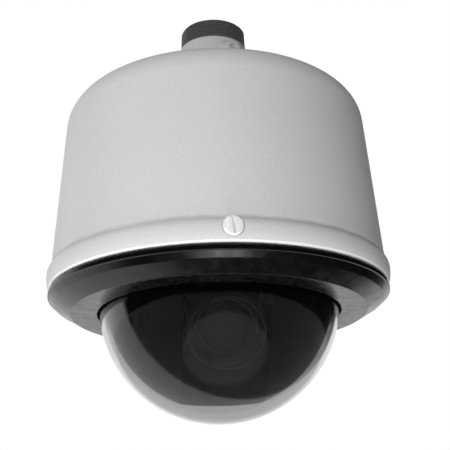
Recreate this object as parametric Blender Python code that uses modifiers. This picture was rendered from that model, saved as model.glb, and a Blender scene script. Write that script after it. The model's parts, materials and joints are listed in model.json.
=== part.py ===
"""Outdoor pendant dome camera: a painted back box on a threaded hub, a black trim ring with a smoked bubble,
and a pan and tilt camera drive inside.

Metres, +Z up. The origin is the centre of the hub's top end, where the pipe screws on. The front, where the
first lock screw sits and where the lens points at rest, is -Y.
"""

import math

import bmesh
import bpy
from mathutils import Vector

# Clearances.
TOUCH = 0.0003          # between faces that rest on each other
ROOM = 0.0010           # between a piece and one that only passes it

ON_AXIS = 0.000001      # a profile point nearer than this is on the axis
LARGE_STEPS = 44        # facets round the large turned pieces

# Threaded hub, with a 1 1/2 inch tapered pipe thread.
THREAD_RADIUS = 0.02413
THREAD_PITCH = 0.002209
THREAD_DEPTH = 0.0014
THREAD_LENGTH = 0.0146
STEM_RADIUS = 0.0245
BORE_RADIUS = 0.0190
HUB_RISE = 0.0616       # hub's top end above the back box
HUB_FLANGE_RADIUS = 0.0430
HUB_FLANGE = 0.0060
HUB_GASKET = 0.0015
HUB_SCREW_CIRCLE = 0.0355
HUB_SCREW_SHANK = 0.0025
HUB_SCREW_HEAD_RADIUS = 0.0048
HUB_SCREW_HEAD = 0.0032
HUB_SCREW_PROUD = 0.0020  # of the screw, below the inside of the back box
HUB_FILLET = 0.0060     # between stem and flange
BOSS_ROOT = 0.0020      # where the boss starts, outside the bore
SET_SCREW_INSET = 0.0008
SET_BOSS_RADIUS = 0.0062
SET_BOSS_REACH = 0.0295
SET_BOSS_DROP = 0.0256  # boss axis below the hub's top end
SET_BOSS_ANGLE = math.radians(-63)
SET_SCREW_RADIUS = 0.0030
SET_SCREW_LENGTH = 0.0065

# Back box.
BOX_HEIGHT = 0.1425
BOX_WALL = 0.0030
TOP_HOLE_GAP = 0.0045   # the cable hole in its top, wider than the hub's bore
CONE_TAPER = 0.076      # radius lost per metre of height
SHOULDER_RADIUS = 0.0246
GROOVE_HEIGHT = 0.0168
GROOVE_DEPTH = 0.0009
GROOVE_INSET = 0.0004   # cone at the groove, inside the lip's radius
SKIRT_BULGE = 0.0026    # skirt, outside the lip's radius
SHELF = 0.0330          # lip's radius beyond the bubble's
LIP_WALL = 0.0032

# Trim ring.
TRIM_PROUD = 0.0014     # rim, outside the lip's radius
TRIM_EDGE = 0.0009      # rim, outside its own lower edge
TRIM_SHELF = 0.0050     # depth of the shelf inside the ring
TRIM_RIM = 0.0045       # height of its outer rim below the lip
TRIM_BEVEL = 0.0085     # depth of the first bevel's lower edge
TRIM_BEVEL_WIDTH = 0.0036
TRIM_CONE_WIDTH = 0.0102
TRIM_DEPTH = 0.0150
TRIM_GASKET = 0.0012
SPIGOT_WALL = 0.0030
SPIGOT_HEIGHT = 0.0140
FLOOR = 0.0035          # the land that the bubble's flange sits on
LEDGE_WIDTH = 0.0085

SMALL_EDGE = 0.0006     # eased edges of the trim ring and the lip

# Bubble.
BUBBLE_RADIUS = 0.0824
BUBBLE_WALL = 0.0030
BUBBLE_CENTRE = -0.0060  # from the lip
BUBBLE_FLANGE = 0.0030
BUBBLE_FLANGE_WIDTH = 0.0092
BUBBLE_GASKET = 0.0015
CLAMP_RING = 0.0025

# Lock screws.
LOCK_HEAD_RADIUS = 0.0072
LOCK_HEAD = 0.0024
LOCK_SHANK = 0.0026
LOCK_HEIGHT = 0.0095
LOCK_SLOT_WIDTH = 0.0011
LOCK_SLOT_DEPTH = 0.0012
LOCK_SLOT_LENGTH = 0.0114
LOCK_LEAN = math.radians(8)
LOCK_SEAT = 0.0013      # depth of the spot face in the skirt
LOCK_ANGLES = [math.radians(angle) for angle in (-90, 30, 150)]

# Chassis.
CHASSIS_HEIGHT = 0.0780  # underside, from the lip
CHASSIS_PLATE = 0.0030
CHASSIS_GAP = 0.0090    # between the plate's edge and the back box
POST_RADIUS = 0.0050
POST_ANGLES = [math.radians(angle) for angle in (30, 150, 270)]
HUB_SCREW_ANGLES = [math.radians(angle) for angle in (90, 210, 330)]
CLAMP_ANGLES = [math.radians(angle) for angle in (0, 120, 240)]
CLAMP_SHANK = 0.0014
CLAMP_HEAD_RADIUS = 0.0028
CLAMP_HEAD = 0.0018
CLAMP_GRIP = 0.0030     # of the screw, in the ledge

# Pan drive.
SHAFT_RADIUS = 0.0110
SHAFT_BORE = 0.0075
SHAFT_FOOT_RADIUS = 0.0200
SHAFT_FOOT = 0.0025
PULLEY_WIDTH = 0.0065
PAN_PULLEY_RADIUS = 0.0360
PINION_RADIUS = 0.0070
MOTOR_SHAFT = 0.0020
PAN_MOTOR_RADIUS = 0.0180
PAN_MOTOR_LENGTH = 0.0230
PAN_MOTOR_CIRCLE = 0.0600
BEARING_WALL = 0.0060
BEARING_FLANGE = 0.0030
BEARING_RISE = 0.0023   # of its flange, above the chassis
PINION_ENTRY = 0.0050   # of the pinion's shaft, in the motor
COLLAR = 0.0045
BELT = 0.0012
BELT_WIDTH = 0.0050
SLIP_ROTOR_RADIUS = 0.0062
SLIP_STATOR_RADIUS = 0.0130
SLIP_STATOR = 0.0200
BRIDGE_HEIGHT = 0.0150
BRIDGE_PLATE = 0.0020
BRIDGE_DEPTH = 0.0200

# Turntable, yoke and liner.
TURNTABLE_HEIGHT = 0.0620  # underside, from the lip
TURNTABLE = 0.0030
TURNTABLE_RADIUS = 0.0700
YOKE_INSIDE = 0.0460
YOKE_PLATE = 0.0030
YOKE_WIDTH = 0.0300
YOKE_FOOT = 0.0100
TILT_HEIGHT = -0.0015   # tilt axis, from the lip
LINER_GAP = 0.0016      # between the liner and the inside of the bubble
LINER_WALL = 0.0020
LINER_RIM_HEIGHT = 0.0140
LINER_RIM = 0.0065
SLOT_WIDTH = 0.0570
SLOT_PAST_NADIR = 0.0023
BRACKET_WIDTH = 0.0200
BRACKET_TAB = 0.0097
BRACKET_INSET = 0.0025  # from the liner's outside

# Camera module, in its own frame on the tilt axis, looking along -Y.
REST_TILT = math.radians(35)
CAMERA_WIDTH = 0.0500
CAMERA_HEIGHT = 0.0540
CAMERA_FRONT = 0.0320
CAMERA_REAR = 0.0480
CRADLE_PLATE = 0.0025
CRADLE_LENGTH = 0.0360
CRADLE_TOP = 0.0120
AXLE_RADIUS = 0.0050
BEARING_RING = 0.0030   # wall of the tilt bearings
BEARING_PROUD = 0.0005  # of the yoke's faces
AXLE_PROUD = 0.0020     # of the yoke's outer faces
CAMERA_CORNER = 0.0020
TILT_PULLEY_GAP = 0.0035  # between cradle and pulley
BARREL_RADIUS = 0.0210
BARREL_LENGTH = 0.0260
LENS_RADIUS = 0.0175
LENS = 0.0026
LENS_CROWN = 0.0018
SHROUD_RADIUS = 0.0250
SHROUD_LENGTH = 0.0200
SHROUD_OVERLAP = 0.0120
SHROUD_LIP = 0.0015
TILT_PULLEY_RADIUS = 0.0200
TILT_MOTOR_RADIUS = 0.0160
TILT_MOTOR_LENGTH = 0.0237
TILT_MOTOR_RISE = 0.0425  # above the tilt axis

# Electronics in the back box.
BOARD = 0.0016
BOARD_GAP = 0.0017      # between the board's edge and the posts
BOARD_BORE = 0.0240
BOARD_DROP = 0.0155     # board's top face below the inside of the back box
STANDOFF_RADIUS = 0.0035
STANDOFF_CIRCLE = 0.0600
FAN_SIDE = 0.0400
FAN = 0.0110
FAN_BLADES = 5
FAN_BLADE = 0.0012
FAN_PLACE = (0.0560, -0.0220)
HEATER_SIZE = (0.0360, 0.0500, 0.0160)
HEATER_PLACE = (-0.0560, -0.0220)
HEATER_FINS = 6
TRANSFORMER_SIDES = (0.0420, 0.0360)
TRANSFORMER_PLACE = (-0.0440, 0.0080)
TRANSFORMER_CORNER = 0.0015
CAPACITOR_RADIUS = 0.0090
CAPACITOR_PLACE = (0.0440, 0.0300)
TERMINAL_SIZE = (0.0460, 0.0140, 0.0130)
TERMINAL_PLACE = -0.0500
TERMINAL_PITCH = 0.0090
TERMINAL_MOUTH = (0.0036, 0.0120, 0.0036)
TERMINAL_DROP = 0.0075  # of the mouths, below the board

# Sizes and levels that follow from the ones above.
LIP_RADIUS = BUBBLE_RADIUS + SHELF
CONE_RADIUS = LIP_RADIUS - GROOVE_INSET
SKIRT_RADIUS = LIP_RADIUS + SKIRT_BULGE
TRIM_RADIUS = LIP_RADIUS + TRIM_PROUD
TRIM_EDGE_RADIUS = TRIM_RADIUS - TRIM_EDGE
TRIM_BEVEL_RADIUS = TRIM_EDGE_RADIUS - TRIM_BEVEL_WIDTH
TRIM_FLAT_RADIUS = TRIM_BEVEL_RADIUS - TRIM_CONE_WIDTH
LINER_RADIUS = BUBBLE_RADIUS - BUBBLE_WALL - LINER_GAP
TOP_Z = -HUB_RISE
LIP_Z = TOP_Z - BOX_HEIGHT
CEILING_Z = TOP_Z - BOX_WALL
TILT_Z = LIP_Z + TILT_HEIGHT
SKIRT_BORE = LIP_RADIUS - LIP_WALL
SPIGOT_RADIUS = SKIRT_BORE - TOUCH
TRIM_TOP_Z = LIP_Z - TRIM_GASKET - 2 * TOUCH
FLOOR_Z = LIP_Z - TRIM_DEPTH + FLOOR
GASKET_Z = FLOOR_Z + TOUCH
FLANGE_Z = GASKET_Z + BUBBLE_GASKET + TOUCH
FLANGE_TOP_Z = FLANGE_Z + BUBBLE_FLANGE
CLAMP_Z = FLANGE_TOP_Z + TOUCH
BUBBLE_Z = LIP_Z + BUBBLE_CENTRE
FLANGE_RADIUS = BUBBLE_RADIUS + BUBBLE_FLANGE_WIDTH
LEDGE_RADIUS = FLANGE_RADIUS + ROOM
CLAMP_RADIUS = LEDGE_RADIUS + LEDGE_WIDTH - ROOM
CLAMP_CIRCLE = LEDGE_RADIUS + LEDGE_WIDTH / 2
TURNTABLE_Z = LIP_Z + TURNTABLE_HEIGHT
SHAFT_Z = TURNTABLE_Z + TURNTABLE + TOUCH
PULLEY_Z = SHAFT_Z + SHAFT_FOOT + TOUCH
CHASSIS_Z = LIP_Z + CHASSIS_HEIGHT
CHASSIS_TOP_Z = CHASSIS_Z + CHASSIS_PLATE
BEARING_RADIUS = SHAFT_RADIUS + TOUCH + BEARING_WALL
BEARING_TOP_Z = CHASSIS_TOP_Z + BEARING_RISE
COLLAR_Z = BEARING_TOP_Z + TOUCH
BRIDGE_Z = CHASSIS_TOP_Z + TOUCH
STATOR_Z = BRIDGE_Z + BRIDGE_HEIGHT + BRIDGE_PLATE + TOUCH
BOARD_Z = CEILING_Z - BOARD_DROP - BOARD
PARTS_Z = BOARD_Z - TOUCH
COMPONENT_FLOOR_Z = CHASSIS_TOP_Z + HEATER_SIZE[2] + 2 * ROOM

# The shoulder's arc is tangent to the cone and to the flat top, and the posts stand inside it.
LEAN = math.atan(CONE_TAPER)
SHOULDER_Z = TOP_Z - SHOULDER_RADIUS
SHOULDER_RISE = SHOULDER_Z - LIP_Z - GROOVE_HEIGHT
SHOULDER_CENTRE = CONE_RADIUS - CONE_TAPER * SHOULDER_RISE - SHOULDER_RADIUS / math.cos(LEAN)
POST_CIRCLE = SHOULDER_CENTRE - POST_RADIUS - ROOM
BOARD_RADIUS = POST_CIRCLE - POST_RADIUS - BOARD_GAP
CHASSIS_RADIUS = CONE_RADIUS - CONE_TAPER * CHASSIS_HEIGHT - BOX_WALL - CHASSIS_GAP

# Colours (linear), roughness, metallic.
PAINT = ("grey_paint", (0.60, 0.60, 0.60), 0.45, 0.0)
BARE = ("bare_aluminium", (0.30, 0.30, 0.30), 0.40, 1.0)
STEEL = ("stainless_steel", (0.55, 0.55, 0.55), 0.30, 1.0)
BLACK = ("black_plastic", (0.010, 0.010, 0.010), 0.30, 0.0)
RUBBER = ("black_rubber", (0.015, 0.015, 0.015), 0.80, 0.0)
SMOKED = ("smoked_acrylic", (0.12, 0.12, 0.12), 0.05, 0.0)
LINER = ("liner_plastic", (0.006, 0.006, 0.006), 0.45, 0.0)
PLATED = ("plated_steel", (0.45, 0.45, 0.43), 0.35, 1.0)
BOARD_GREEN = ("circuit_board", (0.02, 0.12, 0.05), 0.50, 0.0)
COMPONENT = ("component_body", (0.03, 0.03, 0.035), 0.50, 0.0)
GLASS = ("lens_glass", (0.03, 0.03, 0.04), 0.03, 0.0)


def start_scene():
    """Empty the scene and add one collection for the parts and one for the cutters."""
    for old in list(bpy.data.objects):
        bpy.data.objects.remove(old, do_unlink=True)
    made = {}
    for name in ("pendant_dome_camera", "cutters"):
        made[name] = bpy.data.collections.new(name)
        bpy.context.scene.collection.children.link(made[name])
    return made["pendant_dome_camera"], made["cutters"]


PARTS, CUTTERS = start_scene()


def material(finish):
    """The material of this finish, made the first time it is asked for."""
    name, colour, roughness, metallic = finish
    found = bpy.data.materials.get(name)
    if found:
        return found
    made = bpy.data.materials.new(name)
    made.use_nodes = True
    shader = made.node_tree.nodes["Principled BSDF"]
    shader.inputs["Base Color"].default_value = (*colour, 1.0)
    shader.inputs["Roughness"].default_value = roughness
    shader.inputs["Metallic"].default_value = metallic
    made.diffuse_color = (*colour, 1.0)
    return made


def add(name, data, finish, location=(0, 0, 0), rotation=(0, 0, 0), parent=None):
    """One object in the parts collection, or in the cutters collection when it has no finish."""
    made = bpy.data.objects.new(name, data)
    made.location = location
    made.rotation_euler = rotation
    made.parent = parent
    if finish is None:
        CUTTERS.objects.link(made)
        made.hide_render = True
        made.display_type = "WIRE"
        return made
    PARTS.objects.link(made)
    made.data.materials.append(material(finish))
    return made


def axis_empty(name, location, rotation=(0, 0, 0), parent=None):
    """An empty on a joint's axis, to which the moving pieces are parented."""
    made = bpy.data.objects.new(name, None)
    made.location = location
    made.rotation_euler = rotation
    made.parent = parent
    PARTS.objects.link(made)
    return made


def turned(name, profile, finish, steps=24, **place):
    """A turned piece. The profile is a loop of (radius, z) points, down the outer side and back up the inner
    side. A stretch of the loop that lies on the axis makes no surface, so it is left out."""
    mesh = bpy.data.meshes.new(name)
    count = len(profile)
    radii = [r if r > ON_AXIS else 0 for r, _ in profile]
    edges = [(i, (i + 1) % count) for i in range(count) if radii[i] or radii[(i + 1) % count]]
    mesh.from_pydata([(r, 0, z) for r, (_, z) in zip(radii, profile)], edges, [])
    made = add(name, mesh, finish, **place)
    screw = made.modifiers.new("turn", "SCREW")
    screw.steps = screw.render_steps = steps
    screw.use_merge_vertices = True
    screw.merge_threshold = 0.00001
    screw.use_smooth_shade = True
    return made


def ring(name, outer, inner, low, high, finish, steps=24, **place):
    """A flat ring or a plain tube."""
    profile = [(outer, high), (outer, low), (inner, low), (inner, high)]
    return turned(name, profile, finish, steps, **place)


def rod(name, radius, length, finish, sides=20, **place):
    """A round bar, centred on its location and lying along its own Z."""
    mesh = bpy.data.meshes.new(name)
    shape = bmesh.new()
    bmesh.ops.create_cone(
        shape, cap_ends=True, segments=sides, radius1=radius, radius2=radius, depth=length
    )
    shape.to_mesh(mesh)
    shape.free()
    mesh.shade_smooth()
    mesh.set_sharp_from_angle(angle=math.radians(30))
    return add(name, mesh, finish, **place)


def block(name, size, finish, **place):
    """A rectangular block, centred on its location."""
    mesh = bpy.data.meshes.new(name)
    shape = bmesh.new()
    bmesh.ops.create_cube(shape, size=1)
    bmesh.ops.scale(shape, vec=Vector(size), verts=shape.verts)
    shape.to_mesh(mesh)
    shape.free()
    return add(name, mesh, finish, **place)


def soften(piece, width, segments=2):
    """Round the sharp edges of a piece."""
    bevel = piece.modifiers.new("edges", "BEVEL")
    bevel.width = width
    bevel.segments = segments
    bevel.limit_method = "ANGLE"
    return piece


def join(piece, other, operation="UNION"):
    """Combine a piece with a helper by a Boolean."""
    step = piece.modifiers.new(other.name, "BOOLEAN")
    step.operation = operation
    step.object = other
    return piece


def cut(piece, cutter):
    """Cut a helper's shape out of a piece."""
    return join(piece, cutter, "DIFFERENCE")


def outline_plate(name, outlines, thickness, finish, **place):
    """A flat plate, from one outer outline and any inner ones, as a filled 2D curve made into a mesh."""
    curve = bpy.data.curves.new(name, "CURVE")
    curve.dimensions = "2D"
    curve.fill_mode = "BOTH"
    curve.extrude = thickness / 2
    for outline in outlines:
        spline = curve.splines.new("POLY")
        spline.points.add(len(outline) - 1)
        for point, (x, y) in zip(spline.points, outline):
            point.co = (x, y, 0, 1)
        spline.use_cyclic_u = True
    drawn = bpy.data.objects.new(name + "_outline", curve)
    CUTTERS.objects.link(drawn)
    mesh = bpy.data.meshes.new_from_object(drawn.evaluated_get(bpy.context.evaluated_depsgraph_get()))
    bpy.data.objects.remove(drawn)
    shape = bmesh.new()
    shape.from_mesh(mesh)
    bmesh.ops.remove_doubles(shape, verts=shape.verts, dist=0.000001)
    shape.to_mesh(mesh)
    shape.free()
    mesh.name = name
    return add(name, mesh, finish, **place)


def arc(centre, radius, start, end, count):
    """Points along an arc in a plane, from the start angle to the end angle, both included."""
    turns = [start + (end - start) * i / (count - 1) for i in range(count)]
    return [(centre[0] + radius * math.cos(t), centre[1] + radius * math.sin(t)) for t in turns]


def circle(centre, radius, count=24):
    """Points round a full circle."""
    return arc(centre, radius, 0, 2 * math.pi, count + 1)[:-1]


def belt_outline(big, small, distance, count=12):
    """The loop round two pulleys: the big one at (0, 0), the small one at (0, distance)."""
    lean = math.asin((big - small) / distance)
    low = arc((0, 0), big, math.pi - lean, 2 * math.pi + lean, count)
    high = arc((0, distance), small, lean, math.pi - lean, count)
    return low + high


def polar(radius, angle, z=0.0):
    """A point at a distance and an angle round the camera's vertical axis."""
    return (radius * math.cos(angle), radius * math.sin(angle), z)


def outward(angle):
    """The rotation that lays a piece's own Z along the outward direction at an angle."""
    return (0, math.pi / 2, angle)


def cone_radius(z):
    """Outer radius of the back box's cone at this height."""
    return CONE_RADIUS - CONE_TAPER * (z - LIP_Z - GROOVE_HEIGHT)


def skirt_profile():
    """The outer side below the cone: the pinched groove, the bulging skirt and the rounded lip."""
    groove = LIP_Z + GROOVE_HEIGHT
    return [
        (cone_radius(groove + 0.0020), groove + 0.0020),
        (CONE_RADIUS - GROOVE_DEPTH, groove + 0.0004),
        (CONE_RADIUS - GROOVE_DEPTH * 0.6, groove - 0.0008),
        (SKIRT_RADIUS - 0.0008, groove - 0.0035),
        (SKIRT_RADIUS, LIP_Z + GROOVE_HEIGHT * 0.58),
        (SKIRT_RADIUS - 0.0004, LIP_Z + GROOVE_HEIGHT * 0.25),
        (LIP_RADIUS + SMALL_EDGE, LIP_Z + 2 * SMALL_EDGE),
        (LIP_RADIUS, LIP_Z),
    ]


def back_box():
    """Cast aluminium back box, open at the bottom, with a cable hole in its top."""
    centre = (SHOULDER_CENTRE, SHOULDER_Z)
    hole = BORE_RADIUS + TOP_HOLE_GAP
    inner_cone = BOX_WALL / math.cos(LEAN)
    outside = [(hole, TOP_Z)] + arc(centre, SHOULDER_RADIUS, math.pi / 2, LEAN, 6) + skirt_profile()
    inner_arc = arc(centre, SHOULDER_RADIUS - BOX_WALL, LEAN, math.pi / 2, 5)
    step = LIP_Z + GROOVE_HEIGHT + 0.0030
    inside = [(SKIRT_BORE, LIP_Z), (SKIRT_BORE, step - SMALL_EDGE), (cone_radius(step) - inner_cone, step)]
    piece = turned("back_box", outside + inside + inner_arc + [(hole, CEILING_Z)], PAINT, LARGE_STEPS)
    for index, angle in enumerate(LOCK_ANGLES, 1):
        spot = rod(f"lock_spot_{index}", LOCK_HEAD_RADIUS + TOUCH, 0.02, None, 24,
                   location=polar(SKIRT_RADIUS - LOCK_SEAT + 0.01, angle, LIP_Z + LOCK_HEIGHT),
                   rotation=outward(angle))
        hole_cutter = rod(f"lock_hole_{index}", LOCK_SHANK + TOUCH, 0.04, None, 12,
                          location=polar(SKIRT_RADIUS - 0.01, angle, LIP_Z + LOCK_HEIGHT),
                          rotation=outward(angle))
        cut(cut(piece, spot), hole_cutter)
    for index, angle in enumerate(HUB_SCREW_ANGLES, 1):
        cut(piece, rod(f"top_hole_{index}", HUB_SCREW_SHANK + TOUCH, 4 * BOX_WALL, None, 12,
                       location=polar(HUB_SCREW_CIRCLE, angle, TOP_Z - BOX_WALL / 2)))
    return piece


def thread_profile():
    """The thread as rings of its pitch, from the top end down, on the one in sixteen taper of a pipe thread."""
    points = []
    count = int(THREAD_LENGTH / THREAD_PITCH)
    for turn in range(count):
        z = -THREAD_PITCH * (turn + 0.5)
        taper = (THREAD_LENGTH + z) / 32
        points.append((THREAD_RADIUS - taper, z + THREAD_PITCH * 0.12))
        points.append((THREAD_RADIUS - taper, z - THREAD_PITCH * 0.12))
        points.append((THREAD_RADIUS - taper - THREAD_DEPTH, z - THREAD_PITCH * 0.5))
    return points


def hub():
    """Threaded hub: flange, stem, pipe thread, cable bore and the boss of its set screw."""
    foot = TOP_Z + HUB_GASKET + 2 * TOUCH
    flange_top = foot + HUB_FLANGE
    profile = [(THREAD_RADIUS - THREAD_DEPTH, 0)] + thread_profile()
    profile += [(STEM_RADIUS, -THREAD_LENGTH), (STEM_RADIUS, flange_top + HUB_FILLET)]
    profile += [(STEM_RADIUS + HUB_FILLET * 0.3, flange_top + HUB_FILLET * 0.3)]
    profile += [(STEM_RADIUS + HUB_FILLET * 0.8, flange_top)]
    profile += [(HUB_FLANGE_RADIUS - ROOM, flange_top), (HUB_FLANGE_RADIUS, flange_top - ROOM)]
    profile += [(HUB_FLANGE_RADIUS, foot), (BORE_RADIUS, foot), (BORE_RADIUS, 0)]
    piece = turned("mounting_hub", profile, PAINT)
    middle = (SET_BOSS_REACH + BORE_RADIUS + BOSS_ROOT) / 2
    boss = rod("set_screw_boss", SET_BOSS_RADIUS, SET_BOSS_REACH - BORE_RADIUS - BOSS_ROOT, None, 20,
               location=polar(middle, SET_BOSS_ANGLE, -SET_BOSS_DROP), rotation=outward(SET_BOSS_ANGLE))
    join(piece, boss)
    tapped = rod("set_screw_hole", SET_SCREW_RADIUS + TOUCH, 0.03, None, 16,
                 location=polar(BORE_RADIUS + 0.013, SET_BOSS_ANGLE, -SET_BOSS_DROP),
                 rotation=outward(SET_BOSS_ANGLE))
    cut(piece, tapped)
    for index, angle in enumerate(HUB_SCREW_ANGLES, 1):
        cut(piece, rod(f"flange_hole_{index}", HUB_SCREW_SHANK + TOUCH, 4 * HUB_FLANGE, None, 12,
                       location=polar(HUB_SCREW_CIRCLE, angle, foot)))
    return piece


def headed_screw(name, head_radius, head, shank, length, finish, **place):
    """A round-headed screw. Its own origin is under the head, and its shank runs along -Z."""
    profile = [(0, head), (head_radius * 0.7, head), (head_radius, head * 0.5), (head_radius, 0)]
    profile += [(shank, 0), (shank, -length), (0, -length)]
    return turned(name, profile, finish, 16, **place)


def hub_fittings():
    """Gasket under the hub's flange, its three screws and the set screw that locks the pipe."""
    gasket = ring("hub_gasket", HUB_FLANGE_RADIUS - ROOM, BORE_RADIUS + ROOM, TOP_Z + TOUCH,
                  TOP_Z + TOUCH + HUB_GASKET, RUBBER)
    seat = TOP_Z + HUB_GASKET + 2 * TOUCH + HUB_FLANGE + TOUCH
    for index, angle in enumerate(HUB_SCREW_ANGLES, 1):
        cut(gasket, rod(f"gasket_hole_{index}", HUB_SCREW_SHANK + TOUCH, 0.01, None, 12,
                        location=polar(HUB_SCREW_CIRCLE, angle, TOP_Z)))
        headed_screw(f"hub_screw_{index}", HUB_SCREW_HEAD_RADIUS, HUB_SCREW_HEAD, HUB_SCREW_SHANK,
                     seat - CEILING_Z + HUB_SCREW_PROUD, STEEL, location=polar(HUB_SCREW_CIRCLE, angle, seat))
    half = SET_SCREW_LENGTH / 2
    set_screw = rod("hub_set_screw", SET_SCREW_RADIUS, SET_SCREW_LENGTH, STEEL, 16,
                    location=polar(SET_BOSS_REACH - SET_SCREW_INSET - half, SET_BOSS_ANGLE, -SET_BOSS_DROP),
                    rotation=outward(SET_BOSS_ANGLE))
    socket = rod("set_screw_socket", SET_SCREW_RADIUS * 0.5, 0.004, None, 6,
                 location=polar(SET_BOSS_REACH, SET_BOSS_ANGLE, -SET_BOSS_DROP),
                 rotation=outward(SET_BOSS_ANGLE))
    cut(set_screw, socket)


def lock_screw(index, angle):
    """Slotted quarter-turn screw that holds the trim ring in the back box. Its origin is on its axis."""
    head_radius = LOCK_HEAD_RADIUS
    length = LOCK_SEAT + SKIRT_RADIUS - SPIGOT_RADIUS + SPIGOT_WALL
    profile = [(0, LOCK_HEAD), (head_radius * 0.82, LOCK_HEAD), (head_radius, LOCK_HEAD * 0.6)]
    profile += [(head_radius, 0), (LOCK_SHANK, 0), (LOCK_SHANK, -length), (0, -length)]
    seat = SKIRT_RADIUS - LOCK_SEAT + TOUCH
    axis = axis_empty(f"lock_axis_{index}", polar(seat, angle, LIP_Z + LOCK_HEIGHT), outward(angle))
    piece = turned(f"lock_screw_{index}", profile, STEEL, 28, parent=axis)
    slot = block(f"lock_slot_{index}", (LOCK_SLOT_LENGTH, LOCK_SLOT_WIDTH, 2 * LOCK_SLOT_DEPTH), None,
                 location=(0, 0, LOCK_HEAD), rotation=(0, 0, LOCK_LEAN), parent=axis)
    return cut(piece, slot)


def trim_ring():
    """Black trim ring: rim, bevels, the floor and ledge that hold the bubble, and the spigot in the back box."""
    opening = BUBBLE_RADIUS + ROOM
    low = LIP_Z - TRIM_DEPTH
    shelf = LIP_Z - TRIM_SHELF
    profile = [
        (TRIM_RADIUS - SMALL_EDGE, TRIM_TOP_Z),
        (TRIM_RADIUS, TRIM_TOP_Z - SMALL_EDGE),
        (TRIM_RADIUS, LIP_Z - TRIM_RIM + SMALL_EDGE / 2),
        (TRIM_EDGE_RADIUS, LIP_Z - TRIM_RIM),
        (TRIM_BEVEL_RADIUS, LIP_Z - TRIM_BEVEL),
        (TRIM_FLAT_RADIUS, low + SMALL_EDGE),
        (TRIM_FLAT_RADIUS - SMALL_EDGE, low),
        (opening, low),
        (opening, FLOOR_Z),
        (LEDGE_RADIUS, FLOOR_Z),
        (LEDGE_RADIUS, FLANGE_TOP_Z),
        (LEDGE_RADIUS + LEDGE_WIDTH, FLANGE_TOP_Z),
        (SPIGOT_RADIUS - SPIGOT_WALL, shelf),
        (SPIGOT_RADIUS - SPIGOT_WALL, LIP_Z + SPIGOT_HEIGHT),
        (SPIGOT_RADIUS, LIP_Z + SPIGOT_HEIGHT),
        (SPIGOT_RADIUS, TRIM_TOP_Z),
    ]
    piece = turned("trim_ring", profile, BLACK, LARGE_STEPS)
    for index, angle in enumerate(LOCK_ANGLES, 1):
        cut(piece, rod(f"spigot_hole_{index}", LOCK_SHANK + TOUCH, 0.014, None, 12,
                       location=polar(SPIGOT_RADIUS - 0.003, angle, LIP_Z + LOCK_HEIGHT),
                       rotation=outward(angle)))
    for index, angle in enumerate(CLAMP_ANGLES, 1):
        cut(piece, rod(f"ledge_hole_{index}", CLAMP_SHANK + TOUCH, 0.008, None, 10,
                       location=polar(CLAMP_CIRCLE, angle, FLANGE_TOP_Z)))
    ring("trim_gasket", LIP_RADIUS - SMALL_EDGE, SPIGOT_RADIUS + TOUCH, LIP_Z - TOUCH - TRIM_GASKET,
         LIP_Z - TOUCH, RUBBER, LARGE_STEPS)
    return piece


def bubble():
    """Smoked bubble, part of a sphere with a flange, its gasket, and the ring and screws that clamp it."""
    inner = BUBBLE_RADIUS - BUBBLE_WALL
    reach = math.asin((FLANGE_Z - BUBBLE_Z) / BUBBLE_RADIUS)
    inner_reach = math.asin((FLANGE_TOP_Z - BUBBLE_Z) / inner)
    centre = (0, BUBBLE_Z)
    profile = [(FLANGE_RADIUS, FLANGE_TOP_Z), (FLANGE_RADIUS, FLANGE_Z)]
    profile += arc(centre, BUBBLE_RADIUS, reach, -math.pi / 2, 11)
    profile += arc(centre, inner, -math.pi / 2, inner_reach, 11)
    turned("bubble", profile, SMOKED, LARGE_STEPS)
    ring("bubble_gasket", LEDGE_RADIUS - ROOM, BUBBLE_RADIUS + ROOM, GASKET_Z, GASKET_Z + BUBBLE_GASKET,
         RUBBER, LARGE_STEPS)
    clamp = ring("bubble_clamp_ring", CLAMP_RADIUS, BUBBLE_RADIUS, CLAMP_Z, CLAMP_Z + CLAMP_RING, BLACK, LARGE_STEPS)
    for index, angle in enumerate(CLAMP_ANGLES, 1):
        cut(clamp, rod(f"clamp_hole_{index}", CLAMP_SHANK + TOUCH, 0.02, None, 10,
                       location=polar(CLAMP_CIRCLE, angle, CLAMP_Z)))
        headed_screw(f"clamp_screw_{index}", CLAMP_HEAD_RADIUS, CLAMP_HEAD, CLAMP_SHANK, CLAMP_RING + CLAMP_GRIP, STEEL,
                     location=polar(CLAMP_CIRCLE, angle, CLAMP_Z + CLAMP_RING + TOUCH))


def chassis():
    """Plate that carries the pan drive, on three posts from the top of the back box."""
    bearing_hole = circle((0, 0), BEARING_RADIUS + TOUCH)
    shaft_hole = circle((0, PAN_MOTOR_CIRCLE), MOTOR_SHAFT + ROOM, 12)
    fan_hole = circle(FAN_PLACE, FAN_SIDE * 0.44)
    outlines = [circle((0, 0), CHASSIS_RADIUS, 48), bearing_hole, shaft_hole, fan_hole]
    outline_plate("chassis_plate", outlines, CHASSIS_PLATE, PLATED,
                  location=(0, 0, CHASSIS_Z + CHASSIS_PLATE / 2))
    length = CEILING_Z - CHASSIS_TOP_Z - 2 * TOUCH
    for index, angle in enumerate(POST_ANGLES, 1):
        rod(f"chassis_post_{index}", POST_RADIUS, length, PLATED, 12,
            location=polar(POST_CIRCLE, angle, CHASSIS_TOP_Z + TOUCH + length / 2))


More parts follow.
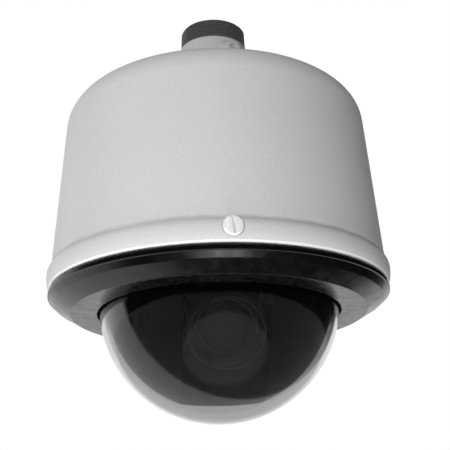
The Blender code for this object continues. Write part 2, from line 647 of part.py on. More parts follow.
def pan_drive(pan):
    """Bearing, motor, belt and slip ring on the chassis, and the shaft and pulley that turn."""
    gap = SHAFT_RADIUS + TOUCH
    flange_radius = BEARING_RADIUS + BEARING_FLANGE
    turned("pan_bearing", [(flange_radius, BEARING_TOP_Z), (flange_radius, CHASSIS_TOP_Z + TOUCH),
                           (BEARING_RADIUS, CHASSIS_TOP_Z + TOUCH), (BEARING_RADIUS, CHASSIS_Z - ROOM),
                           (gap, CHASSIS_Z - ROOM), (gap, BEARING_TOP_Z)], STEEL)
    motor_z = CHASSIS_TOP_Z + TOUCH
    motor = rod("pan_motor", PAN_MOTOR_RADIUS, PAN_MOTOR_LENGTH, COMPONENT, 28,
                location=(0, PAN_MOTOR_CIRCLE, motor_z + PAN_MOTOR_LENGTH / 2))
    cut(motor, rod("pan_motor_bore", MOTOR_SHAFT + TOUCH, 0.012, None, 12,
                   location=(0, PAN_MOTOR_CIRCLE, motor_z)))
    pinion_axis = axis_empty("pan_pinion_axis", (0, PAN_MOTOR_CIRCLE, 0))
    pinion_top = PULLEY_Z + PULLEY_WIDTH
    turned("pan_motor_pinion", [(0, motor_z + PINION_ENTRY), (MOTOR_SHAFT, motor_z + PINION_ENTRY),
                                (MOTOR_SHAFT, pinion_top), (PINION_RADIUS, pinion_top),
                                (PINION_RADIUS, PULLEY_Z), (0, PULLEY_Z)], PLATED, 24, parent=pinion_axis)
    big, small = PAN_PULLEY_RADIUS + TOUCH, PINION_RADIUS + TOUCH
    outlines = [belt_outline(big + BELT, small + BELT, PAN_MOTOR_CIRCLE, 20),
                belt_outline(big, small, PAN_MOTOR_CIRCLE, 20)]
    outline_plate("pan_belt", outlines, BELT_WIDTH, RUBBER, location=(0, 0, PULLEY_Z + PULLEY_WIDTH / 2))
    shaft_top = COLLAR_Z + COLLAR
    turned("pan_shaft", [(SHAFT_RADIUS, shaft_top), (SHAFT_RADIUS, SHAFT_Z + SHAFT_FOOT),
                         (SHAFT_FOOT_RADIUS, SHAFT_Z + SHAFT_FOOT), (SHAFT_FOOT_RADIUS, SHAFT_Z),
                         (SHAFT_BORE, SHAFT_Z), (SHAFT_BORE, shaft_top)], STEEL, parent=pan)
    ring("pan_pulley", PAN_PULLEY_RADIUS, gap, PULLEY_Z, PULLEY_Z + PULLEY_WIDTH, BLACK, 32, parent=pan)
    ring("pan_collar", BEARING_RADIUS, gap, COLLAR_Z, shaft_top, STEEL, parent=pan)
    rotor_top = STATOR_Z - TOUCH
    rod("slip_ring_rotor", SLIP_ROTOR_RADIUS, rotor_top - SHAFT_Z, COMPONENT, 20,
        location=(0, 0, (rotor_top + SHAFT_Z) / 2), parent=pan)
    rod("slip_ring_stator", SLIP_STATOR_RADIUS, SLIP_STATOR, COMPONENT, 24,
        location=(0, 0, STATOR_Z + SLIP_STATOR / 2))
    bridge_inside = 2 * (flange_radius + 2 * ROOM)
    height = BRIDGE_HEIGHT + BRIDGE_PLATE
    bridge = block("slip_ring_bridge", (bridge_inside + 2 * BRIDGE_PLATE, BRIDGE_DEPTH, height), PLATED,
                   location=(0, 0, BRIDGE_Z + height / 2))
    cut(bridge, block("bridge_gap", (bridge_inside, 2 * BRIDGE_DEPTH, BRIDGE_HEIGHT * 2), None,
                      location=(0, 0, BRIDGE_Z)))
    cut(bridge, rod("bridge_hole", SLIP_ROTOR_RADIUS + ROOM, 0.02, None, 16,
                    location=(0, 0, BRIDGE_Z + BRIDGE_HEIGHT)))


def turntable(pan):
    """Plate under the pan shaft, with the two yoke arms and their bearings."""
    plate = ring("turntable", TURNTABLE_RADIUS, SHAFT_BORE, TURNTABLE_Z, TURNTABLE_Z + TURNTABLE, PLATED, 32,
                 parent=pan)
    top = TURNTABLE_Z - TOUCH
    for name, side in (("left", -1), ("right", 1)):
        inside = side * YOKE_INSIDE
        middle = inside + side * YOKE_PLATE / 2
        half = YOKE_WIDTH / 2
        hole = AXLE_RADIUS + 2 * TOUCH + BEARING_RING
        outline = [(half, top - TILT_Z)] + arc((0, 0), half, 0, -math.pi, 9) + [(-half, top - TILT_Z)]
        outlines = [outline, circle((0, 0), hole, 20)]
        if side < 0:
            outlines.append(circle((0, TILT_MOTOR_RISE), MOTOR_SHAFT + ROOM, 12))
        arm = outline_plate(f"yoke_arm_{name}", outlines, YOKE_PLATE, BLACK,
                            location=(middle, 0, TILT_Z), rotation=(math.pi / 2, 0, math.pi / 2), parent=pan)
        foot = block(f"yoke_foot_{name}", (YOKE_FOOT, YOKE_WIDTH - ROOM, YOKE_PLATE), None,
                     location=(inside + side * (YOKE_FOOT / 2 + ROOM), 0, top - YOKE_PLATE / 2 - TOUCH))
        join(arm, foot)
        ring(f"tilt_bearing_{name}", hole - TOUCH, AXLE_RADIUS + TOUCH, -YOKE_PLATE / 2 - BEARING_PROUD,
             YOKE_PLATE / 2 + BEARING_PROUD, STEEL, 20, location=(middle, 0, TILT_Z),
             rotation=(0, math.pi / 2, 0), parent=pan)
    return plate


def liner(pan):
    """Black liner that turns with the camera: an open ball with a slot for the lens, on two brackets."""
    rim_z = LIP_Z + LINER_RIM_HEIGHT
    inner = LINER_RADIUS - LINER_WALL
    centre = (0, TILT_Z)
    outside = [(LINER_RADIUS, rim_z)] + arc(centre, LINER_RADIUS, 0, -math.pi / 2, 10)
    inside = arc(centre, inner, -math.pi / 2, 0, 10)
    rim = [(inner, rim_z - LINER_WALL), (inner - LINER_RIM, rim_z - LINER_WALL), (inner - LINER_RIM, rim_z)]
    piece = turned("liner", outside + inside + rim, LINER, LARGE_STEPS, parent=pan)
    depth = 4 * LINER_RADIUS
    slot = block("lens_slot", (SLOT_WIDTH, LINER_RADIUS * 1.5, depth), None,
                 location=(0, SLOT_PAST_NADIR - LINER_RADIUS * 0.75, TILT_Z))
    end = rod("lens_slot_end", SLOT_WIDTH / 2, LINER_RADIUS, None, 24,
              location=(0, SLOT_PAST_NADIR, TILT_Z - LINER_RADIUS))
    cut(piece, join(slot, end))
    start = YOKE_INSIDE + YOKE_PLATE + TOUCH
    length = LINER_RADIUS - BRACKET_INSET - start
    for name, side in (("left", -1), ("right", 1)):
        foot = rim_z + TOUCH
        bracket = block(f"liner_bracket_{name}", (length, BRACKET_WIDTH, BRACKET_TAB), PLATED,
                        location=(side * (start + length / 2), 0, foot + BRACKET_TAB / 2), parent=pan)
        cut(bracket, block(f"bracket_gap_{name}", (length, BRACKET_WIDTH * 2, BRACKET_TAB), None,
                           location=(side * (start + length / 2 + LINER_WALL), 0,
                                     foot + BRACKET_TAB / 2 + LINER_WALL)))
    return piece


def tilt_drive(pan, tilt):
    """Tilt motor outside the left yoke arm, its pinion and belt, and the pulley on the camera's axle."""
    side_face = -(YOKE_INSIDE + YOKE_PLATE + TOUCH)
    motor_z = TILT_Z + TILT_MOTOR_RISE
    along_x = (0, math.pi / 2, 0)
    motor = rod("tilt_motor", TILT_MOTOR_RADIUS, TILT_MOTOR_LENGTH, COMPONENT, 28,
                location=(side_face - TILT_MOTOR_LENGTH / 2, 0, motor_z), rotation=along_x, parent=pan)
    cut(motor, rod("tilt_motor_bore", MOTOR_SHAFT + TOUCH, 0.012, None, 12,
                   location=(side_face, 0, motor_z), rotation=along_x))
    pulley_x = -(CAMERA_WIDTH / 2 + TOUCH + CRADLE_PLATE + TILT_PULLEY_GAP)
    far_x = pulley_x - PULLEY_WIDTH
    pinion_axis = axis_empty("tilt_pinion_axis", (0, 0, motor_z), along_x, pan)
    turned("tilt_motor_pinion", [(0, pulley_x), (PINION_RADIUS, pulley_x), (PINION_RADIUS, far_x),
                                 (MOTOR_SHAFT, far_x), (MOTOR_SHAFT, side_face - PINION_ENTRY),
                                 (0, side_face - PINION_ENTRY)], PLATED, 24, parent=pinion_axis)
    big, small = TILT_PULLEY_RADIUS + TOUCH, PINION_RADIUS + TOUCH
    outlines = [belt_outline(big + BELT, small + BELT, TILT_MOTOR_RISE, 14),
                belt_outline(big, small, TILT_MOTOR_RISE, 14)]
    outline_plate("tilt_belt", outlines, BELT_WIDTH, RUBBER,
                  location=(pulley_x - PULLEY_WIDTH / 2, 0, TILT_Z),
                  rotation=(math.pi / 2, 0, math.pi / 2), parent=pan)
    ring("tilt_pulley", TILT_PULLEY_RADIUS, AXLE_RADIUS + TOUCH, -PULLEY_WIDTH / 2, PULLEY_WIDTH / 2, BLACK,
         24, location=(pulley_x - PULLEY_WIDTH / 2, 0, 0), rotation=along_x, parent=tilt)


def camera_module(tilt):
    """Camera in its cradle, on two stub axles, with its lens barrel, front lens and shroud."""
    inside = CAMERA_WIDTH / 2 + TOUCH
    width = 2 * (inside + CRADLE_PLATE)
    low = -CAMERA_HEIGHT / 2 - TOUCH
    height = CRADLE_TOP - low + CRADLE_PLATE
    cradle = block("camera_cradle", (width, CRADLE_LENGTH, height), PLATED,
                   location=(0, 0, CRADLE_TOP - height / 2), parent=tilt)
    cut(cradle, block("cradle_gap", (2 * inside, 2 * CRADLE_LENGTH, 2 * CAMERA_HEIGHT), None,
                      location=(0, 0, low + CAMERA_HEIGHT), parent=tilt))
    for name, side in (("left", -1), ("right", 1)):
        reach = YOKE_INSIDE + YOKE_PLATE + AXLE_PROUD
        start = inside + CRADLE_PLATE / 2
        join(cradle, rod(f"axle_{name}", AXLE_RADIUS, reach - start, None, 20,
                         location=(side * (reach + start) / 2, 0, 0), rotation=(0, math.pi / 2, 0),
                         parent=tilt))
    body_length = CAMERA_FRONT + CAMERA_REAR
    soften(block("camera_body", (CAMERA_WIDTH, body_length, CAMERA_HEIGHT), COMPONENT,
                 location=(0, (CAMERA_REAR - CAMERA_FRONT) / 2, 0), parent=tilt), CAMERA_CORNER)
    ahead = (math.pi / 2, 0, 0)
    front = CAMERA_FRONT + TOUCH
    end = front + BARREL_LENGTH
    recess = LENS_RADIUS + TOUCH
    turned("lens_barrel", [(0, end - LENS), (recess, end - LENS), (recess, end), (BARREL_RADIUS - ROOM, end),
                           (BARREL_RADIUS, end - ROOM), (BARREL_RADIUS, front), (0, front)], BLACK,
           rotation=ahead, parent=tilt)
    dome = [(LENS_RADIUS * i / 4, end - LENS / 2 + LENS_CROWN * (1 - (i / 4) ** 2)) for i in range(5)]
    turned("lens_front_glass", dome + [(LENS_RADIUS, end - LENS + TOUCH), (0, end - LENS + TOUCH)], GLASS, 28,
           rotation=ahead, parent=tilt)
    start = end - SHROUD_OVERLAP
    bore = BARREL_RADIUS + TOUCH
    turned("lens_shroud", [(SHROUD_RADIUS, start + SHROUD_LENGTH), (SHROUD_RADIUS, start), (bore, start),
                           (bore, end), (SHROUD_RADIUS - SHROUD_LIP, start + SHROUD_LENGTH)], BLACK, 36,
           rotation=ahead, parent=tilt)


def electronics():
    """Power board under the top of the back box, its parts, and the fan and heater on the chassis."""
    ring("power_board", BOARD_RADIUS, BOARD_BORE, BOARD_Z, BOARD_Z + BOARD, BOARD_GREEN, 32)
    length = CEILING_Z - BOARD_Z - BOARD - 2 * TOUCH
    for index, angle in enumerate(POST_ANGLES, 1):
        rod(f"board_standoff_{index}", STANDOFF_RADIUS, length, PLATED, 10,
            location=polar(STANDOFF_CIRCLE, angle, CEILING_Z - TOUCH - length / 2))
    depth = PARTS_Z - COMPONENT_FLOOR_Z
    soften(block("transformer", (*TRANSFORMER_SIDES, depth), COMPONENT,
                 location=(*TRANSFORMER_PLACE, PARTS_Z - depth / 2)), TRANSFORMER_CORNER)
    rod("board_capacitor", CAPACITOR_RADIUS, depth * 0.9, COMPONENT, 20,
        location=(*CAPACITOR_PLACE, PARTS_Z - depth * 0.45))
    terminals = block("terminal_block", TERMINAL_SIZE, BOARD_GREEN,
                      location=(0, TERMINAL_PLACE, PARTS_Z - TERMINAL_SIZE[2] / 2))
    mouth_y = TERMINAL_PLACE - TERMINAL_SIZE[1] / 2
    for index in range(-2, 3):
        cut(terminals, block(f"terminal_mouth_{index}", TERMINAL_MOUTH, None,
                             location=(TERMINAL_PITCH * index, mouth_y, PARTS_Z - TERMINAL_DROP)))
    fan_z = CHASSIS_TOP_Z + TOUCH + FAN / 2
    frame = block("fan_frame", (FAN_SIDE, FAN_SIDE, FAN), BLACK, location=(*FAN_PLACE, fan_z))
    bore = FAN_SIDE * 0.46
    cut(frame, rod("fan_bore", bore, 2 * FAN, None, 32, location=(*FAN_PLACE, fan_z)))
    rotor_axis = axis_empty("fan_axis", (*FAN_PLACE, fan_z))
    rotor = rod("fan_rotor", bore * 0.42, FAN * 0.8, BLACK, 20, parent=rotor_axis)
    for index in range(FAN_BLADES):
        turn = 2 * math.pi * index / FAN_BLADES
        span = bore - ROOM - bore * 0.30
        blade = block(f"fan_blade_{index}", (span, FAN * 0.75, FAN_BLADE), None,
                      location=polar(bore * 0.30 + span / 2, turn), rotation=(math.radians(38), 0, turn),
                      parent=rotor_axis)
        join(rotor, blade)
    width, length, height = HEATER_SIZE
    heater = block("heater", HEATER_SIZE, BARE,
                   location=(*HEATER_PLACE, CHASSIS_TOP_Z + TOUCH + height / 2))
    pitch = length / HEATER_FINS
    for index in range(HEATER_FINS - 1):
        place = HEATER_PLACE[1] - length / 2 + pitch * (index + 1)
        cut(heater, block(f"heater_gap_{index}", (width * 1.2, pitch * 0.5, height), None,
                          location=(HEATER_PLACE[0], place, CHASSIS_TOP_Z + height)))


def build():
    """Put the camera together, from the hub down."""
    pan = axis_empty("pan_axis", (0, 0, 0))
    tilt = axis_empty("tilt_axis", (0, 0, TILT_Z), (REST_TILT, 0, 0), pan)
    back_box()
    hub()
    hub_fittings()
    for index, angle in enumerate(LOCK_ANGLES, 1):
        lock_screw(index, angle)
    trim_ring()
    bubble()
    chassis()
    pan_drive(pan)
    turntable(pan)
    liner(pan)
    tilt_drive(pan, tilt)
    camera_module(tilt)
    electronics()


build()
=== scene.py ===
"""Outdoor pendant dome camera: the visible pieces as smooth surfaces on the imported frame, their finishes, and a
plain studio. Metres, +Z up; the pipe screws on at the origin and the lens looks towards -Y and down.
"""

import json
import math

import bpy
import numpy as np
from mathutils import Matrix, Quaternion, Vector


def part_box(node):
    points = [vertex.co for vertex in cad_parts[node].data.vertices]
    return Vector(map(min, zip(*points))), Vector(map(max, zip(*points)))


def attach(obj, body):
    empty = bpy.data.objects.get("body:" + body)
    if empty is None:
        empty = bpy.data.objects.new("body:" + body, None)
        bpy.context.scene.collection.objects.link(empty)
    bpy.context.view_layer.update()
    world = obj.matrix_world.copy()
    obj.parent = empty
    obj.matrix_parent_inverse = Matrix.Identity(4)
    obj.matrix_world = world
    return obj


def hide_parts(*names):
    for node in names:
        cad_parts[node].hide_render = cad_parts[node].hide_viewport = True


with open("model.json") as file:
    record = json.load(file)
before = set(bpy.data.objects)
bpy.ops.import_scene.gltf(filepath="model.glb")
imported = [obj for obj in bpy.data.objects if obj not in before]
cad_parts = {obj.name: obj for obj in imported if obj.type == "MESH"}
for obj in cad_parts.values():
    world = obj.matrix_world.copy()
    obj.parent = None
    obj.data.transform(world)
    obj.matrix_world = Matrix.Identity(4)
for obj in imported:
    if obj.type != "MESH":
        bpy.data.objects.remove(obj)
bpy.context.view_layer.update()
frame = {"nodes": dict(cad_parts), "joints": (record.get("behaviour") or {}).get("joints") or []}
nodes = frame["nodes"]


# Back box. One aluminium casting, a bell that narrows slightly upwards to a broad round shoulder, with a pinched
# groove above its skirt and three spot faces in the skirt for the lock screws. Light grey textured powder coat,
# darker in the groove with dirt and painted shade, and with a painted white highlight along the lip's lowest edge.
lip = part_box("back_box")[0].z
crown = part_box("back_box")[1].z
box_wall = 0.0030
groove = lip + 0.0168
groove_radius = 0.1150
taper = 0.076
shoulder_radius = 0.0246
skirt_radius = 0.1180
skirt_bore = 0.1122
hub_bore = 0.0190
cable_hole = 0.0235
spot_radius = 0.0067
spot_depth = 0.0013
lock_level = lip + 0.0095
# Top of the painted highlight, a white band along the lip's lowest edge.
lip_highlight_level = lip + 0.0012
lock_angles = np.radians([-90.0, 30.0, 150.0])


def rounded(corners, cut, count=5, closed=True):
    """A profile with eased corners. Each corner P becomes the parabola (1-t)^2 A + 2t(1-t) P + t^2 B, where A and B
    lie on its two edges, the distance cut away from it, and never past 0.48 of an edge."""
    corners = np.asarray(corners, float)
    back, ahead = np.roll(corners, 1, 0) - corners, np.roll(corners, -1, 0) - corners
    if not closed:
        back[0], ahead[-1] = 0, 0
    cut = np.broadcast_to(np.asarray(cut, float), len(corners))
    t = np.linspace(0, 1, count)[None, :, None]
    ends = []
    for edge in (back, ahead):
        length = np.maximum(np.linalg.norm(edge, axis=1), 1e-9)
        ends.append(corners + edge * (np.minimum(cut, 0.48 * length) / length)[:, None])
    start, end = ends[0][:, None], ends[1][:, None]
    return ((1 - t) ** 2 * start + 2 * t * (1 - t) * corners[:, None] + t ** 2 * end).reshape(-1, 2)


def turned(profile, angles):
    """A profile (radius, height) carried round the vertical axis: (r cos a, r sin a, z) for each angle a."""
    profile = np.asarray(profile, float)
    r, z = profile[:, :1], profile[:, 1:]
    return np.stack([r * np.cos(angles), r * np.sin(angles), z + 0 * angles], axis=2)


def around(count):
    """Evenly spaced angles round a full turn."""
    return np.linspace(0, 2 * np.pi, count, endpoint=False)


def skin(name, grid, body, finish, replaced=(), loop=False, wrap=True, sharp=32):
    """A closed skin over a grid of points, rows by columns. Columns close on themselves if wrap is true. Rows close
    too if loop is true; if not, the first and last rows are gathered into a pole at their middle. The signed volume,
    the sum of a . (b x c) over the triangles, is negative when the faces look inwards, and they are turned over."""
    rows, columns = grid.shape[:2]
    points = grid.reshape(-1, 3)
    index = np.arange(rows * columns).reshape(rows, columns)
    here, beside = index, np.roll(index, -1, 1)
    if loop:
        below, below_beside = np.roll(here, -1, 0), np.roll(beside, -1, 0)
    else:
        here, below = here[:-1], here[1:]
        beside, below_beside = beside[:-1], beside[1:]
    if not wrap:
        here, beside, below_beside, below = (side[:, :-1] for side in (here, beside, below_beside, below))
    quads = np.stack([here, beside, below_beside, below], axis=2).reshape(-1, 4)
    fans = np.empty((0, 3), int)
    if not loop:
        points = np.concatenate([points, grid[0].mean(0)[None], grid[-1].mean(0)[None]])
        first, last = rows * columns, rows * columns + 1
        top, low = index[0], index[-1]
        fans = np.concatenate([
            np.stack([np.full(columns, first), np.roll(top, -1), top], axis=1),
            np.stack([np.full(columns, last), low, np.roll(low, -1)], axis=1)])
    a, b, c, d = (points[quads[:, k]] for k in range(4))
    volume = (a * np.cross(b, c)).sum() + (a * np.cross(c, d)).sum()
    if len(fans):
        a, b, c = (points[fans[:, k]] for k in range(3))
        volume += (a * np.cross(b, c)).sum()
    if volume < 0:
        quads, fans = quads[:, ::-1], fans[:, ::-1]
    mesh = bpy.data.meshes.new(name)
    mesh.from_pydata(points.tolist(), [], quads.tolist() + fans.tolist())
    mesh.polygons.foreach_set("use_smooth", np.ones(len(mesh.polygons), bool))
    mesh.set_sharp_from_angle(angle=math.radians(sharp))
    mesh.materials.append(finish)
    piece = bpy.data.objects.new(name, mesh)
    bpy.context.scene.collection.objects.link(piece)
    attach(piece, body)
    if replaced:
        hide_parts(*replaced)
    return piece


def start_finish(name, roughness=0.5, metallic=0.0):
    """A material with one Principled shader. Returns the material, its node tree and the shader."""
    material = bpy.data.materials.new(name)
    material.use_nodes = True
    tree = material.node_tree
    shader = tree.nodes["Principled BSDF"]
    shader.inputs["Roughness"].default_value = roughness
    shader.inputs["Metallic"].default_value = metallic
    return material, tree, shader


def node(tree, kind, links=(), **values):
    """Adds a shader node. links are (input, socket) pairs; values set inputs by name, or the node's own settings."""
    made = tree.nodes.new("ShaderNode" + kind)
    for key, value in values.items():
        if key in made.bl_rna.properties:
            setattr(made, key, value)
        else:
            made.inputs[key.replace("_", " ")].default_value = value
    for socket, source in links:
        tree.links.new(source, made.inputs[socket])
    return made


def object_place(tree):
    """The Object coordinates' socket."""
    return node(tree, "TexCoord").outputs["Object"]


def noise(tree, place, scale, detail=3.0, stretch=(1, 1, 1)):
    """Noise, with its pattern's size in waves per metre, drawn out along an axis where stretch is below 1."""
    mapping = node(tree, "Mapping", [("Vector", place)], Scale=stretch)
    return node(tree, "TexNoise", [("Vector", mapping.outputs[0])], Scale=scale, Detail=detail).outputs["Fac"]


def between(tree, factor, low, high, at=(0.3, 0.7)):
    """A number that goes from low to high as the factor passes the two marks."""
    return node(tree, "MapRange", [("Value", factor)], From_Min=at[0], From_Max=at[1], To_Min=low,
                To_Max=high).outputs[0]


def grey(value, tint=(1.0, 1.0, 1.0)):
    """A colour of this linear brightness."""
    return (value * tint[0], value * tint[1], value * tint[2], 1.0)


def blend(tree, factor, first, second):
    """A colour between two, each a colour or a socket."""
    mix = node(tree, "Mix", data_type="RGBA")
    tree.links.new(factor, mix.inputs["Factor"])
    for socket, value in ((mix.inputs[6], first), (mix.inputs[7], second)):
        if isinstance(value, bpy.types.NodeSocket):
            tree.links.new(value, socket)
        else:
            socket.default_value = value
    return mix.outputs[2]


def bump(tree, shader, height, distance):
    """Raises the surface by up to distance, in metres, where the height is 1."""
    made = node(tree, "Bump", [("Height", height)], Strength=1.0, Distance=distance)
    tree.links.new(made.outputs[0], shader.inputs["Normal"])


def coated(name, low, high, roughness, grain, depth, groove_level):
    """Powder coat: a speckle of two greys, an orange-peel bump, a darker band at one level that is partly dirt and
    partly painted shade, and a painted highlight: white along the lowest edge of the lip."""
    material, tree, shader = start_finish(name, roughness)
    place = object_place(tree)
    speckle = noise(tree, place, grain, 4.0)
    cloud = noise(tree, place, 22.0, 3.0)
    fine = blend(tree, between(tree, speckle, 0, 1, (0.25, 0.75)), grey(low), grey(high))
    colour = blend(tree, between(tree, cloud, 0.0, 0.35), fine, grey((low + high) / 2 * 1.04))
    level = node(tree, "SeparateXYZ", [("Vector", place)]).outputs[2]
    above = node(tree, "Math", operation="SUBTRACT")
    tree.links.new(level, above.inputs[0])
    above.inputs[1].default_value = groove_level
    away = node(tree, "Math", [(0, above.outputs[0])], operation="ABSOLUTE").outputs[0]
    # Darker within 1.6 mm of the groove's level and broken up by noise: partly dirt, partly painted shade in the
    # groove.
    dirt_and_shade = node(tree, "Math", operation="MULTIPLY")
    tree.links.new(between(tree, away, 0.5, 0.0, (0.0, 0.0016)), dirt_and_shade.inputs[0])
    tree.links.new(between(tree, noise(tree, place, 60.0), 0.3, 1.0), dirt_and_shade.inputs[1])
    colour = blend(tree, dirt_and_shade.outputs[0], colour, grey(low * 0.45))
    # Painted highlight: the colour turns white along the lowest 1.2 mm of the lip.
    colour = blend(tree, between(tree, level, 1.0, 0.0, (lip_highlight_level, lip_highlight_level + 0.0003)), colour, grey(1.0))
    tree.links.new(colour, shader.inputs["Base Color"])
    tree.links.new(between(tree, cloud, roughness - 0.06, roughness + 0.06), shader.inputs["Roughness"])
    bump(tree, shader, noise(tree, place, grain * 0.8, 2.0), depth)
    return material


powder_coat = coated("powder_coat", 0.56, 0.70, 0.48, 1400.0, 0.00012, groove)

lean = math.atan(taper)
shoulder_level = crown - shoulder_radius
cone_top = groove_radius - taper * (shoulder_level - groove)
shoulder_centre = cone_top - shoulder_radius / math.cos(lean)
turn = np.linspace(math.pi / 2, lean, 28)
shoulder = np.stack([shoulder_centre + shoulder_radius * np.cos(turn),
                     shoulder_level + shoulder_radius * np.sin(turn)], axis=1)
inner_turn = np.linspace(lean, math.pi / 2, 16)
inner_shoulder = np.stack([shoulder_centre + (shoulder_radius - box_wall) * np.cos(inner_turn),
                           shoulder_level + (shoulder_radius - box_wall) * np.sin(inner_turn)], axis=1)
skirt_corners = [(groove_radius - taper * 0.006, groove + 0.0060), (groove_radius - taper * 0.002, groove + 0.0020),
                 (0.1141, groove + 0.0004), (0.1144, groove - 0.0010), (0.1173, groove - 0.0034),
                 (0.1181, lip + 0.0100), (0.1178, lip + 0.0042), (0.1164, lip + 0.0006), (0.1157, lip)]
skirt_curve = rounded(skirt_corners, 1.0, 9, closed=False)
skirt_levels = np.linspace(groove + 0.0030, lip + 0.00002, 56)
skirt = np.stack([np.interp(skirt_levels, skirt_curve[::-1, 1], skirt_curve[::-1, 0]), skirt_levels], axis=1)
step = groove + 0.0030
inside = rounded([(0.1152, lip), (skirt_bore, lip), (skirt_bore, step - 0.0005),
                  (groove_radius - taper * 0.003 - box_wall, step)], 0.0006, 4, closed=False)
bell = np.concatenate([[(cable_hole, crown)], shoulder, skirt, inside, inner_shoulder,
                       [(cable_hole, crown - box_wall)]])
spread = np.linspace(-1, 1, 150, endpoint=False)
crowded = math.radians(60) * (0.22 * spread + 0.78 * spread ** 3)
bell_grid = turned(bell, (lock_angles[:, None] + crowded).reshape(-1))
outer = slice(1 + len(shoulder), 1 + len(shoulder) + len(skirt))
for angle in lock_angles:
    axis = np.array([math.cos(angle), math.sin(angle), 0.0])
    side = np.array([-math.sin(angle), math.cos(angle), 0.0])
    part = bell_grid[outer]
    depth = part @ axis
    reach = np.hypot(part @ side, part[..., 2] - lock_level)
    inside_spot = np.clip((spot_radius + 0.0003 - reach) / 0.0005, 0, 1) * (depth > 0)
    sunk = inside_spot * np.maximum(depth - (skirt_radius - spot_depth), 0)
    bell_grid[outer] = part - sunk[..., None] * axis
skin("back_box_shell", bell_grid, "housing", powder_coat, ["back_box"], loop=True)


# Hub. A turned and threaded aluminium fitting that the pipe screws on to: tapered pipe thread left bare, stem,
# flange and a cast boss for the set screw, the rest painted with the back box. A rubber gasket seals its flange.
thread_radius = 0.02413
thread_pitch = 0.002209
thread_depth = 0.0014
thread_length = 0.0146
stem_radius = 0.0245
flange_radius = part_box("mounting_hub")[1].x
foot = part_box("mounting_hub")[0].z
flange_top = foot + 0.0060
boss_angle = math.radians(-63)
boss_level = -0.0256
boss_radius = 0.0062
boss_reach = 0.0295
screw_circle = 0.0355


def helix(levels, angles):
    """Radius of the thread at each level and angle. The distance into a turn is -z / pitch + angle / 2 pi, its
    triangle wave has its tip and root cut off, the crest follows a taper of 1 in 32, the top end is chamfered at
    45 degrees, and the groove runs out over the last turn."""
    into = (-levels / thread_pitch + angles / (2 * np.pi)) % 1.0
    ridge = np.clip((1 - np.abs(2 * into - 1) - 0.10) / 0.78, 0, 1)
    crest = thread_radius - (thread_length + levels) / 32
    runout = np.clip((thread_length + levels) / (0.9 * thread_pitch), 0, 1)
    cut = crest - thread_depth * (1 - ridge) * runout
    stem = stem_radius - (stem_radius - thread_radius) * runout
    return np.minimum(np.where(runout < 1, np.minimum(cut, stem), cut), thread_radius - thread_depth * 1.2 - levels)


def bare_and_painted(name):
    """Oiled dark steel above the end of the thread and paint below it, told apart by the Object height."""
    material, tree, shader = start_finish(name, 0.45)
    place = object_place(tree)
    level = node(tree, "SeparateXYZ", [("Vector", place)]).outputs[2]
    painted = between(tree, level, 1.0, 0.0, (-thread_length - 0.0004, -thread_length + 0.0004))
    metal = blend(tree, between(tree, noise(tree, place, 900.0, 4.0), 0, 1), grey(0.075), grey(0.150))
    paint = blend(tree, between(tree, noise(tree, place, 1400.0, 4.0), 0, 1), grey(0.44), grey(0.55))
    tree.links.new(blend(tree, painted, metal, paint), shader.inputs["Base Color"])
    tree.links.new(between(tree, painted, 0.30, 0.0, (0, 1)), shader.inputs["Metallic"])
    tree.links.new(between(tree, noise(tree, place, 400.0), 0.36, 0.56), shader.inputs["Roughness"])
    bump(tree, shader, noise(tree, place, 1500.0, 3.0), 0.00010)
    return material


hub_paint = bare_and_painted("hub_paint_and_thread")
hub_angles = around(192)
thread_levels = np.linspace(0, -thread_length, 150)[:, None]
thread = np.broadcast_to(helix(thread_levels, hub_angles), (150, 192))
rows = rounded([(stem_radius, -thread_length - 0.0004), (stem_radius, flange_top + 0.0060),
                (stem_radius + 0.0016, flange_top + 0.0016), (stem_radius + 0.0060, flange_top),
                (flange_radius, flange_top), (flange_radius, foot), (hub_bore, foot), (hub_bore, -0.0004),
                (hub_bore + 0.0008, 0.0), (0.0222, 0.0)],
               [0.0002, 0.0040, 0.0030, 0.0020, 0.0010, 0.0004, 0.0004, 0.0006, 0.0002, 0.0001], 6, closed=False)
thread_grid = np.stack([thread * np.cos(hub_angles), thread * np.sin(hub_angles),
                        thread_levels + 0 * hub_angles], axis=2)
skin("pipe_hub", np.concatenate([thread_grid, turned(rows, hub_angles)]), "housing", hub_paint,
     ["mounting_hub"], loop=True, sharp=60)


def placed(grid, origin, along, sideways):
    """The grid with its own Z laid along one direction and its own X along another, from an origin."""
    z = np.asarray(along, float) / np.linalg.norm(along)
    x = np.asarray(sideways, float) - z * np.dot(sideways, z)
    x /= np.linalg.norm(x)
    return grid @ np.stack([x, np.cross(z, x), z]) + np.asarray(origin, float)


boss_out = [math.cos(boss_angle), math.sin(boss_angle), 0]
boss = rounded([(boss_radius + 0.0040, 0.0225), (boss_radius + 0.0012, 0.0246), (boss_radius, 0.0262),
                (boss_radius, boss_reach), (0.0034, boss_reach), (0.0033, 0.0222)],
               [0, 0.0010, 0.0010, 0.0012, 0.0003, 0], 6, closed=False)
skin("hub_boss", placed(turned(boss, around(64)), (0, 0, boss_level), boss_out, (0, 0, 1)), "housing", hub_paint)


def rubber(name):
    """Black moulded rubber, dull, with a fine bloom."""
    material, tree, shader = start_finish(name, 0.8)
    place = object_place(tree)
    bloom = between(tree, noise(tree, place, 260.0, 5.0), 0, 1)
    tree.links.new(blend(tree, bloom, grey(0.012), grey(0.030)), shader.inputs["Base Color"])
    tree.links.new(between(tree, bloom, 0.66, 0.86, (0, 1)), shader.inputs["Roughness"])
    bump(tree, shader, noise(tree, place, 1200.0), 0.00008)
    return material


black_rubber = rubber("black_rubber")
low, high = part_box("hub_gasket")
skin("hub_seal", turned(rounded([(high.x, low.z), (high.x, high.z), (hub_bore + 0.001, high.z),
                                 (hub_bore + 0.001, low.z)], 0.0005), around(160)),
     "housing", black_rubber, ["hub_gasket"], loop=True)


